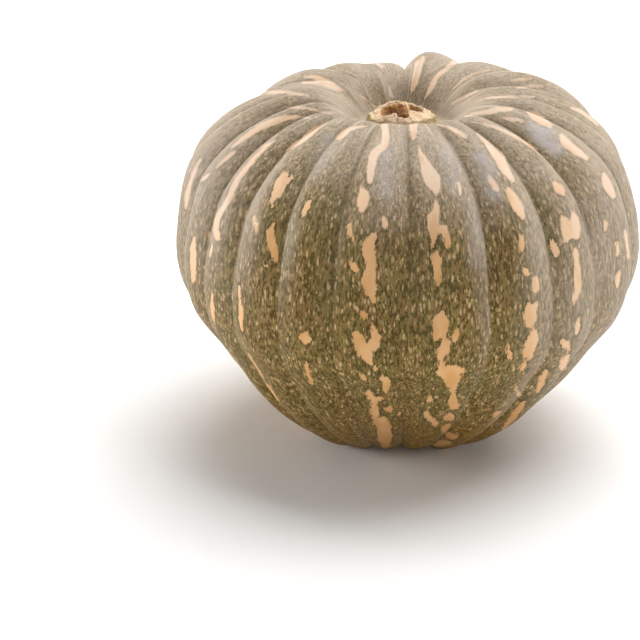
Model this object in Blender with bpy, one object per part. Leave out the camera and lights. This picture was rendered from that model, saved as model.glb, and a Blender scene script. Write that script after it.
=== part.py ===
"""A whole ribbed pumpkin with a short corky stem stub.

Metres, +Z up. The pumpkin stands on its lobes, with its origin under its middle.
Its front is toward -Y, and an azimuth counts in degrees from the front toward +X.
"""

import math

import bmesh
import bpy
import numpy as np

# Turned envelope of the fruit, through the crests of its lobes
RADIUS = 0.122
WIDEST_HEIGHT = 0.1052
TOP_HEIGHT = 0.1914
BASE_SINK = 0.0155
UPPER_ROUNDNESS = 2.6
LOWER_ROUNDNESS = 1.51
# How far above and below its widest ring the envelope is still a plain ellipse, in radians
PLAIN_SPAN = 0.5

# The fruit grew larger on its right side than on its left
SIDE_SWELL = 0.032
SHOULDER_LIFT = 0.0075
# From the axis of growth to the middle of the fruit's outline, as (x, y)
AXIS_OFFSET = (-0.0039, 0.0)

# Hollow round the stem, with a level seat
SEAT_HEIGHT = 0.1677
SEAT_RADIUS = 0.0219
HOLLOW_WIDTH = 0.0155
HOLLOW_SHARPNESS = 1.25

# Underside, with the dimple at the blossom end
BASE_ROUNDING = 0.0025
BASE_DROP = 0.0041
DIMPLE_DEPTH = 0.012
DIMPLE_WIDTH = 0.024
# How far the base is from round toward square, with its corners between front, sides and back
BASE_SQUARENESS = 0.079

# Each lobe: azimuth of the groove before it, that groove's depth at the shoulder in mm,
# and how far the lobe's own shoulder stands out from the envelope in mm
LOBES = [
    (0.5, 3.2, 0.0),
    (20.0, 4.0, 0.0),
    (37.0, 4.6, 0.0),
    (52.5, 7.0, 0.5),
    (76.0, 5.0, -1.0),
    (92.0, 4.5, -1.0),
    (109.0, 5.0, 2.0),
    (127.0, 5.5, 0.5),
    (154.0, 4.0, 2.5),
    (177.0, 7.5, -3.5),
    (196.0, 3.5, -1.5),
    (215.0, 6.0, -0.5),
    (233.0, 5.0, -4.0),
    (252.0, 5.0, 0.0),
    (268.0, 4.5, 2.0),
    (284.0, 5.0, 1.0),
    (299.0, 5.5, 0.0),
    (312.5, 4.5, 0.0),
    (327.5, 3.2, 0.0),
    (342.0, 3.4, 0.0),
]
MM = 0.001
LOBE_FULLNESS = 0.8
# Part of a groove's depth that is left at the widest ring and near the base
GROOVE_AT_MIDDLE = 0.5
GROOVE_AT_BASE = 0.9
# Heights between which the grooves deepen toward the shoulder and toward the base
SHOULDER_SPAN = (0.09, 0.16)
BASE_SPAN = (0.01, 0.08)
# Radii between which the grooves start, outward from the stem's seat and from the blossom end
SEAT_FADE = (0.030, 0.062)
BLOSSOM_FADE = (0.008, 0.045)
# Height and radius between which a lobe's own rise starts
RISE_HEIGHTS = (0.10, 0.16)
RISE_RADII = (0.02, 0.05)

# Cut stem stub
STEM_GAP = 0.0003
STEM_HEIGHT = 0.0104
STEM_FOOT_RADIUS = 0.0172
STEM_NECK_RADIUS = 0.0136
STEM_SQUARENESS = 0.43
# Levels, from 0 at the foot to 1 at the top, over which the stub narrows and its cut top begins
STEM_FLARE_LEVELS = (0.1, 0.8)
STEM_TOP_LEVELS = (0.5, 0.9)
STEM_FOOT_LATITUDE = math.radians(-34.0)
# The cut top is lower at its sides, and has slight waves
STEM_CROWN = 0.0026
STEM_WAVE = 0.0005
STEM_WAVE_LENGTH = 0.024
# Each toe of the foot: azimuth, half width in degrees, reach beyond the foot
STEM_TOES = [
    (12.0, 20.0, 0.0010),
    (82.0, 22.0, 0.0040),
    (150.0, 20.0, 0.0022),
    (222.0, 22.0, 0.0024),
    (287.0, 20.0, 0.0042),
]
# Each pit in the stem's top: x, y, half width along x, half width along y, depth
STEM_PITS = [
    (-0.0042, 0.0020, 0.0062, 0.0050, 0.0052),
    (0.0006, -0.0040, 0.0018, 0.0040, 0.0034),
    (0.0076, 0.0048, 0.0030, 0.0046, 0.0048),
]

# Mesh fineness
SPANS_PER_LOBE = 8
FRUIT_RINGS = 36
RING_CROWDING = 0.196
STEM_SPANS = 60
STEM_RINGS = 20
SMOOTH_ANGLE = math.radians(40.0)


def remove_everything():
    for old in list(bpy.data.objects):
        bpy.data.objects.remove(old, do_unlink=True)


def collection_named(name):
    group = bpy.data.collections.new(name)
    bpy.context.scene.collection.children.link(group)
    return group


def material_named(name, colour, roughness):
    material = bpy.data.materials.new(name)
    material.use_nodes = True
    shader = material.node_tree.nodes["Principled BSDF"]
    shader.inputs["Base Color"].default_value = (*colour, 1.0)
    shader.inputs["Roughness"].default_value = roughness
    shader.inputs["Metallic"].default_value = 0.0
    return material


def smooth_step(value, start, end):
    """0 before start, 1 after end, and a smooth rise between them."""
    part = np.clip((value - start) / (end - start), 0.0, 1.0)
    return part * part * (3.0 - 2.0 * part)


def ball_object(name, spans, rings, reshape, material, group):
    """A sphere whose vertices are moved by reshape(longitude, latitude), both in radians."""
    bm = bmesh.new()
    bmesh.ops.create_uvsphere(bm, u_segments=spans, v_segments=rings, radius=1.0)
    points = np.array([vertex.co for vertex in bm.verts])
    longitude = np.arctan2(points[:, 1], points[:, 0]) % (2.0 * math.pi)
    latitude = np.arcsin(np.clip(points[:, 2], -1.0, 1.0))
    for vertex, place in zip(bm.verts, reshape(longitude, latitude)):
        vertex.co = place
    mesh = bpy.data.meshes.new(name)
    bm.to_mesh(mesh)
    bm.free()
    mesh.shade_smooth()
    mesh.set_sharp_from_angle(angle=SMOOTH_ANGLE)
    mesh.materials.append(material)
    ball = bpy.data.objects.new(name, mesh)
    group.objects.link(ball)
    return ball


def envelope(turn):
    """Radius and height of the turned envelope at an angle from -90 (base) to 90 degrees (top)."""
    upper = turn > 0.0
    roundness = np.where(upper, UPPER_ROUNDNESS, LOWER_ROUNDNESS)
    power = 2.0 / (2.0 + (roundness - 2.0) * smooth_step(np.abs(turn), 0.0, PLAIN_SPAN))
    radius = RADIUS * np.abs(np.cos(turn)) ** power
    reach = np.where(upper, TOP_HEIGHT - WIDEST_HEIGHT, WIDEST_HEIGHT + BASE_SINK)
    height = WIDEST_HEIGHT + reach * np.sign(turn) * np.abs(np.sin(turn)) ** power

    from_seat = np.maximum(radius - SEAT_RADIUS, 0.0)
    rise = 1.0 - np.exp(-((from_seat / HOLLOW_WIDTH) ** HOLLOW_SHARPNESS))
    top_height = SEAT_HEIGHT + (height - SEAT_HEIGHT) * rise

    floor_lift = 0.5 * (np.sqrt(height**2 + 4.0 * BASE_ROUNDING**2) - height)
    dimple = DIMPLE_DEPTH * np.exp(-((radius / DIMPLE_WIDTH) ** 2))
    lowness = smooth_step(WIDEST_HEIGHT - height, 0.0, WIDEST_HEIGHT)
    base_height = height + (floor_lift + dimple - BASE_DROP) * lowness
    return radius, np.where(upper, top_height, base_height)


def envelope_normal(turn):
    """Outward direction across the envelope, as its radial and its upward part."""
    step = 1e-4
    short_of_pole = 0.5 * math.pi - 10.0 * step
    turn = np.clip(turn, -short_of_pole, short_of_pole)
    radius_ahead, height_ahead = envelope(turn + step)
    radius_behind, height_behind = envelope(turn - step)
    along_radius = radius_ahead - radius_behind
    along_height = height_ahead - height_behind
    length = np.hypot(along_radius, along_height) + 1e-12
    return along_height / length, -along_radius / length


def lobe_at(longitude):
    """Azimuth in degrees, place across the lobe from 0 to 1, groove depth and crest rise."""
    azimuths, depths, rises = np.array(LOBES + [LOBES[0]]).T
    azimuths[-1] += 360.0
    place = longitude / (2.0 * math.pi) * len(LOBES)
    place = np.where(np.abs(place - np.round(place)) < 1e-4, np.round(place), place)
    lobe = np.floor(place).astype(int) % len(LOBES)
    across = place - np.floor(place)
    azimuth = azimuths[lobe] + across * (azimuths[lobe + 1] - azimuths[lobe])
    depth = depths[lobe] + across * (depths[lobe + 1] - depths[lobe])
    return azimuth, across, depth * MM, rises[lobe] * MM


def fruit_shape(longitude, latitude):
    """The ribbed fruit: the envelope, cut by grooves that follow its meridians."""
    turn = latitude + RING_CROWDING * np.sin(2.0 * latitude)
    azimuth, across, groove_depth, crest_rise = lobe_at(longitude)
    radius, height = envelope(turn)
    out_radius, out_height = envelope_normal(turn)
    upper = turn > 0.0

    reach = GROOVE_AT_MIDDLE + (1.0 - GROOVE_AT_MIDDLE) * smooth_step(height, *SHOULDER_SPAN)
    reach += (GROOVE_AT_BASE - GROOVE_AT_MIDDLE) * (1.0 - smooth_step(height, *BASE_SPAN))
    reach *= np.where(upper, smooth_step(radius, *SEAT_FADE), smooth_step(radius, *BLOSSOM_FADE))
    shoulder = smooth_step(height, *RISE_HEIGHTS) * smooth_step(radius, *RISE_RADII) * upper

    bulge = np.sin(math.pi * across)
    move = crest_rise * bulge * shoulder
    move -= groove_depth * (1.0 - np.abs(bulge) ** LOBE_FULLNESS) * reach
    radius = radius + move * out_radius
    height = height + move * out_height

    bearing = np.radians(azimuth)
    to_right = np.sin(bearing)
    to_back = -np.cos(bearing)
    lowness = smooth_step(WIDEST_HEIGHT - height, 0.0, WIDEST_HEIGHT)
    radius = radius * (1.0 - BASE_SQUARENESS * np.cos(4.0 * bearing) * lowness)
    radius = radius * (1.0 + SIDE_SWELL * to_right)
    past_seat = np.clip((radius - SEAT_RADIUS) / (RADIUS - SEAT_RADIUS), 0.0, 1.0)
    lift = SHOULDER_LIFT * to_right * (height / TOP_HEIGHT) ** 2 * past_seat
    height = height * (1.0 + lift)
    height = np.where(upper, height, np.maximum(height, 0.0))
    across_x = radius * to_right + AXIS_OFFSET[0]
    across_y = radius * to_back + AXIS_OFFSET[1]
    return np.column_stack([across_x, across_y, height])


def stem_shape(longitude, latitude):
    """The stub: a flared foot with toes, a short neck, and a rough cut top with pits."""
    level = 0.5 + 0.5 * np.sin(latitude)
    azimuth = np.degrees(longitude)
    narrowing = smooth_step(level, *STEM_FLARE_LEVELS)
    radius = STEM_FOOT_RADIUS + (STEM_NECK_RADIUS - STEM_FOOT_RADIUS) * narrowing
    for toe_azimuth, half_width, reach in STEM_TOES:
        aside = (azimuth - toe_azimuth + 180.0) % 360.0 - 180.0
        radius = radius + reach * np.exp(-((aside / half_width) ** 2)) * (1.0 - 0.5 * level)
    fullness = np.clip(np.cos(latitude), 0.0, 1.0) ** STEM_SQUARENESS
    x = radius * fullness * np.sin(longitude)
    y = -radius * fullness * np.cos(longitude)

    side = np.sign(latitude) * np.abs(np.sin(latitude)) ** STEM_SQUARENESS
    height = 0.5 * STEM_HEIGHT * (1.0 + side)
    top = smooth_step(level, *STEM_TOP_LEVELS)
    waves = STEM_WAVE * np.sin(2.0 * math.pi * x / STEM_WAVE_LENGTH)
    height = height - top * (waves + STEM_CROWN * (x / STEM_NECK_RADIUS) ** 2)
    for pit_x, pit_y, half_x, half_y, depth in STEM_PITS:
        near = np.exp(-(((x - pit_x) / half_x) ** 2) - ((y - pit_y) / half_y) ** 2)
        height = height - top * depth * near
    height = np.where(latitude < STEM_FOOT_LATITUDE, 0.0, height)
    return np.column_stack([x, y, height])


def make_fruit(group):
    rind = material_named("mottled rind", (0.17, 0.16, 0.10), 0.55)
    spans = SPANS_PER_LOBE * len(LOBES)
    return ball_object("fruit", spans, FRUIT_RINGS, fruit_shape, rind, group)


def make_stem(group, fruit):
    cork = material_named("dry cork", (0.55, 0.40, 0.22), 0.85)
    stem = ball_object("stem", STEM_SPANS, STEM_RINGS, stem_shape, cork, group)
    stem.location = (AXIS_OFFSET[0], AXIS_OFFSET[1], SEAT_HEIGHT + STEM_GAP)
    stem.parent = fruit
    return stem


def main():
    remove_everything()
    group = collection_named("pumpkin")
    fruit = make_fruit(group)
    make_stem(group, fruit)


main()
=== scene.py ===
"""A whole ribbed pumpkin with a dry, corky stem stub, standing in a white studio.

Metres, +Z up, front toward -Y. An azimuth counts in degrees from the front toward +X.
A place on the rind is an azimuth and a way down the profile, in mm from the middle of the top.
"""

import math

import bpy
import numpy as np
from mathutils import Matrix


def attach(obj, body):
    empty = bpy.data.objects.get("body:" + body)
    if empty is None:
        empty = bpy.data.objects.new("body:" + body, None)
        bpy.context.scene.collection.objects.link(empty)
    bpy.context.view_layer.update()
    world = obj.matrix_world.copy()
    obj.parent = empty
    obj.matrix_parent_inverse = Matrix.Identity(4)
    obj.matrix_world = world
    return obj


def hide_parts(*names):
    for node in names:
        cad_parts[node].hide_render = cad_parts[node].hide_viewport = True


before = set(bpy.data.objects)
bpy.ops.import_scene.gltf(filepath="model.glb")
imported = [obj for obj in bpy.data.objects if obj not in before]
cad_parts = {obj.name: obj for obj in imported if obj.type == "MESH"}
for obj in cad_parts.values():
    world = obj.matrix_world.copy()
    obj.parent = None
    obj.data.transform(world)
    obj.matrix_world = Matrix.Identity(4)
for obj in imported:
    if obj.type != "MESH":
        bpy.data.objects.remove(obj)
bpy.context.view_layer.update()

MM = 0.001

# Turned envelope of the fruit, through the crests of its lobes
RADIUS = 0.122
WIDEST_HEIGHT = 0.1052
TOP_HEIGHT = 0.1914
BASE_SINK = 0.0155
UPPER_ROUNDNESS = 2.6
LOWER_ROUNDNESS = 1.51
PLAIN_SPAN = 0.5
SIDE_SWELL = 0.032
SHOULDER_LIFT = 0.0075
AXIS_OFFSET = (-0.0039, 0.0)

# Hollow round the stem, and the underside with its dimple
SEAT_HEIGHT = 0.1677
SEAT_RADIUS = 0.0219
HOLLOW_WIDTH = 0.0155
HOLLOW_SHARPNESS = 1.25
BASE_ROUNDING = 0.0025
BASE_DROP = 0.0041
DIMPLE_DEPTH = 0.012
DIMPLE_WIDTH = 0.024
BASE_SQUARENESS = 0.079

# Each lobe: azimuth of the groove before it, that groove's depth in mm, rise of its crest in mm
LOBES = [
    (0.5, 3.2, 0.0),
    (20.0, 4.0, 0.0),
    (37.0, 4.6, 0.0),
    (52.5, 7.0, 0.5),
    (76.0, 5.0, -1.0),
    (92.0, 4.5, -1.0),
    (109.0, 5.0, 2.0),
    (127.0, 5.5, 0.5),
    (154.0, 4.0, 2.5),
    (177.0, 7.5, -3.5),
    (196.0, 3.5, -1.5),
    (215.0, 6.0, -0.5),
    (233.0, 5.0, -4.0),
    (252.0, 5.0, 0.0),
    (268.0, 4.5, 2.0),
    (284.0, 5.0, 1.0),
    (299.0, 5.5, 0.0),
    (312.5, 4.5, 0.0),
    (327.5, 3.2, 0.0),
    (342.0, 3.4, 0.0),
]
LOBE_FULLNESS = 0.8
GROOVE_AT_MIDDLE = 0.5
GROOVE_AT_BASE = 0.9
SHOULDER_SPAN = (0.09, 0.16)
BASE_SPAN = (0.01, 0.08)
SEAT_FADE = (0.030, 0.062)
BLOSSOM_FADE = (0.008, 0.045)
RISE_HEIGHTS = (0.10, 0.16)
RISE_RADII = (0.02, 0.05)

# Cut stem stub. A toe is azimuth, half width in degrees and reach; a pit is x, y, two half widths, depth
STEM_GAP = 0.0003
STEM_HEIGHT = 0.0104
STEM_FOOT_RADIUS = 0.0172
STEM_NECK_RADIUS = 0.0136
STEM_SQUARENESS = 0.43
STEM_TOP_SQUARENESS = 0.66
STEM_FLARE_LEVELS = (0.1, 0.8)
STEM_TOP_LEVELS = (0.5, 0.9)
STEM_FOOT_LATITUDE = math.radians(-34.0)
STEM_CROWN = 0.0026
STEM_WAVE = 0.0005
STEM_WAVE_LENGTH = 0.024
STEM_FULL_REACH = 0.0044
STEM_TOES = [
    (12.0, 20.0, 0.0010),
    (82.0, 22.0, 0.0040),
    (150.0, 20.0, 0.0022),
    (222.0, 22.0, 0.0024),
    (268.0, 9.0, 0.0032),
    (297.0, 18.0, 0.0042),
]
STEM_PITS = [
    (-0.0038, -0.0002, 0.0062, 0.0068, 0.0054),
    (0.0004, -0.0066, 0.0026, 0.0044, 0.0040),
    (0.0074, 0.0056, 0.0030, 0.0062, 0.0052),
]
STEM_FREE_SPAN = 0.3
STEM_RIBS = 17.0
STEM_RIB_DEPTH = 0.6 * MM
CRUMBS = (0.0034, 21)
FINE_CRUMBS = (0.0015, 22)
CRUMB_DEPTHS = (0.55 * MM, 0.28 * MM)
SIDE_CRUMB_DEPTH = 0.3 * MM
FIBRE_ROUND = 6.0
FIBRE_OUTWARD = 0.12
TOE_TIP_MM = (12.0, 18.0)

# Camera, as it stood for a photograph of 640 x 640 pixels
PHOTO_HALF = 320.0
SENSOR = 36.0
LENS = 148.585
CAMERA_PLACE = (-0.045982, -1.291143, 0.632075)
CAMERA_DROP = math.radians(24.0)

# Fineness of the two surfaces
SPANS_PER_LOBE = 30
RIND_ROWS = 164
STEM_SPANS = 288
STEM_ROWS = 120

# How far the rind lies inside the solid; its shallow swells, as wavelength, depth and seed;
# and the spans of height and radius over which they set in
RIND_INSET = 0.10 * MM
SWELLS = [(0.030, 0.30 * MM, 11), (0.011, 0.12 * MM, 12)]
SWELL_HEIGHTS = (0.004, 0.030)
SWELL_RADII = (SEAT_RADIUS, 0.035)

# Space that the rind's flecks lie in, in mm; they are longer above the high place and below the low
FLOW_RADIUS = 100.0
FLOW_DOWN = 0.38
FLOW_DOWN_HIGH = 0.25
FLOW_DOWN_LOW = 0.22
HIGH_PLACE = 138.0
LOW_PLACE = 215.0
FLOW_SOFTNESS = 40.0
RAY_DOWN = 0.05

# Grey haze: on what faces up, partly waxy bloom and partly painted sheen of the light above; on what faces
# right or left, painted light
TOP_HAZE = 0.56
TOP_HAZE_SLOPES = (-0.05, 1.05)
TOP_HAZE_POWER = 1.6
SIDE_FROM_FRUIT = 0.75
SIDE_FROM_FLANK = 0.90
SIDE_LOST_AWAY = 0.25
# Painted light on the flanks that face the right and the left lamps
# Right, then left: direction, strength, the spans of facing and of height where it sets in,
# its share below that height, and what the far left adds to the facing
PAINTED_SIDE_LIGHTS = [
    (1.0, 0.38, (0.20, 0.56), (0.03, 0.14), 0.65, 0.0),
    (-1.0, 0.46, (0.32, 0.74), (0.08, 0.15), 0.25, 0.16),
]
FAR_LEFT_SIDES = (0.50, 0.90)
FAR_LEFT_HEIGHTS = (0.130, 0.160)
FAR_LEFT_KEEPS = 0.8
# Painted shade on the front left, which thins the haze and the painted side light there
SHADE_FRONTS = (0.15, 0.55)
SHADE_SIDES = (0.08, 0.34)
SHADE_SIDE_ENDS = (0.60, 0.85)
SHADE_ON_TOP_HAZE = 0.45
SHADE_ON_SIDE_LIGHT = 0.35
HAZE_OVERLAP = 0.6

# Radii and heights that bound the stem's rays, the browner foot with its painted warm bounce light and
# shade, and the blossom scar
RAY_RADII = (0.045, 0.100)
FOOT_HEIGHTS = (0.0, 0.06)
SCAR_RADII = (0.004, 0.007)

# Painted bluish highlight on the crowns of lobes that the camera doesn't see
HIGHLIGHT_SEED = 5
HIGHLIGHT_STRENGTHS = (0.0, 0.36)
HIGHLIGHT_CROWN_SPREAD = 0.24
HIGHLIGHT_SLOPE = 0.76
HIGHLIGHT_SLOPE_SPREAD = 0.2
HIGHLIGHT_REACH = (-4.0, 6.0)

# Made-up pale patches of the hidden sides: places, lengths and half widths in mm, and shares of a
# lobe's width
PATCH_SEED = 5
WIDE_LOBE = 21.0
NARROW_MIDDLES = (0.38, 0.62)
WIDE_MIDDLES = (0.20, 0.35)
SECOND_COLUMN = 0.42
STREAK_STARTS = (28.0, 45.0)
LAST_STREAK = 95.0
LAST_BLOT = 300.0
STREAK_SIZES = ((22.0, 48.0), (0.8, 1.6))
BLOT_SIZES = ((4.0, 24.0), (1.0, 3.6))
PATCH_GAPS = (3.0, 26.0)
PATCH_DRIFTS = (-0.12, 0.12)
PATCH_SWAYS = (-0.035, 0.035)
PATCH_STEPS = (-0.05, 0.05)
PATCH_SWELLINGS = (0.65, 1.35)
PATCH_ROWS = 5

# Size of the photograph's pixel at the fruit in mm, a distance beyond any patch, and a tiny divisor
MM_PER_PIXEL = 0.53
FAR = 40.0
NEVER_ZERO = 1e-12

# Colours of the rind
SKIN_WARM = (0.080, 0.042, 0.005)
SKIN_COOL = (0.080, 0.062, 0.015)
SKIN_GREEN = (0.062, 0.055, 0.008)
# Painted warm bounce light and shade at the foot
SKIN_BOUNCE_SHADE = (0.105, 0.052, 0.005)
STREAK_OLIVE = (0.196, 0.145, 0.038)
STREAK_TAN = (0.235, 0.142, 0.046)
# Painted warm bounce light and shade at the foot
STREAK_BOUNCE_SHADE = (0.250, 0.145, 0.024)
SPECK_DULL = (0.15, 0.098, 0.030)
SPECK_PALE = (0.31, 0.215, 0.095)
FLECK_DULL = (0.27, 0.187, 0.068)
FLECK_PALE = (0.54, 0.37, 0.185)
# Painted warm bounce light and shade at the foot
FLECK_BOUNCE_SHADE = (0.36, 0.215, 0.055)
BLOT_DULL = (0.42, 0.30, 0.13)
BLOT_PALE = (0.60, 0.40, 0.20)
# Painted warm bounce light and shade at the foot
FOOT_BOUNCE_SHADE = (0.16, 0.082, 0.008)
# Grey of the haze: partly waxy bloom, partly painted sheen and painted side light
WAX_SHEEN_GREY = (0.445, 0.368, 0.293)
RAY_PALE = (0.66, 0.54, 0.41)
RAY_DARK = (0.23, 0.185, 0.12)
# Painted highlight on the lobes' shoulders
HIGHLIGHT_BLUE = (0.47, 0.45, 0.47)
# Painted shade in the grooves
GROOVE_SHADE = (0.075, 0.055, 0.020)
PATCH_BORDER = (0.050, 0.044, 0.011)
PEACH_DEEP = (0.60, 0.32, 0.115)
PEACH_PALE = (0.68, 0.40, 0.185)
# Patch colours under the waxy bloom, the painted sheen and the painted side light
PEACH_HAZY = (0.72, 0.495, 0.315)
PEACH_DULL = (0.66, 0.495, 0.365)
PEACH_RUSTY = (0.52, 0.26, 0.10)
# Painted warm bounce light and shade at the foot
PEACH_BOUNCE_SHADE = (0.36, 0.17, 0.050)
SCAR_BROWN = (0.30, 0.20, 0.11)

# Colours of the cork and of the studio's paper
CORK_TAN = (0.64, 0.45, 0.27)
CORK_PALE = (0.80, 0.60, 0.42)
FIBRE_BROWN = (0.40, 0.25, 0.11)
CRUMB_BROWN = (0.33, 0.18, 0.07)
PIT_RUST = (0.36, 0.155, 0.035)
# Darker deeper in the pits: partly the pit's own brown, partly painted shade
PIT_DARK = (0.15, 0.055, 0.010)
# Painted light on the stem's side wall
CORK_SIDE_LIGHT = (0.84, 0.65, 0.44)
TOE_GREEN = (0.42, 0.36, 0.11)
PAPER_GREY = (0.93, 0.925, 0.92)
PAPER_WHITE = (0.95, 0.945, 0.94)

# What goes into and comes out of the shared grain
GRAIN_SOCKETS = [
    ("Place", "INPUT", "Vector"),
    ("Scale", "INPUT", "Float"),
    ("Grain", "OUTPUT", "Float"),
    ("Mottle", "OUTPUT", "Float"),
]

# Studio floor, its bend and its back wall
FLOOR_HALF_WIDTH = 14.0
FLOOR_FRONT = (-14.0, -1.0)
FLOOR_BACK = 1.6
FLOOR_BEND = 1.2
FLOOR_BEND_ROWS = 24
WALL_TOP = 4.0

# Soft lights: name, place, target, size and power in watts
SOFT_LIGHTS = [
    ("overhead softbox", (0.40, 0.46, 1.6), (0.05, 0.0, 0.1), (2.0, 1.6), 48.0),
    ("right softbox", (6.4, -0.4, 0.95), (0.0, 0.0, 0.1), (4.8, 1.7), 168.0),
    ("left softbox", (-6.4, 1.4, 0.95), (0.0, 0.0, 0.1), (4.0, 1.7), 470.0),
    ("front fill", (-0.7, -7.0, 0.45), (0.0, 0.0, 0.1), (5.6, 0.8), 150.0),
]
AIR_STRENGTH = 0.06

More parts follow.
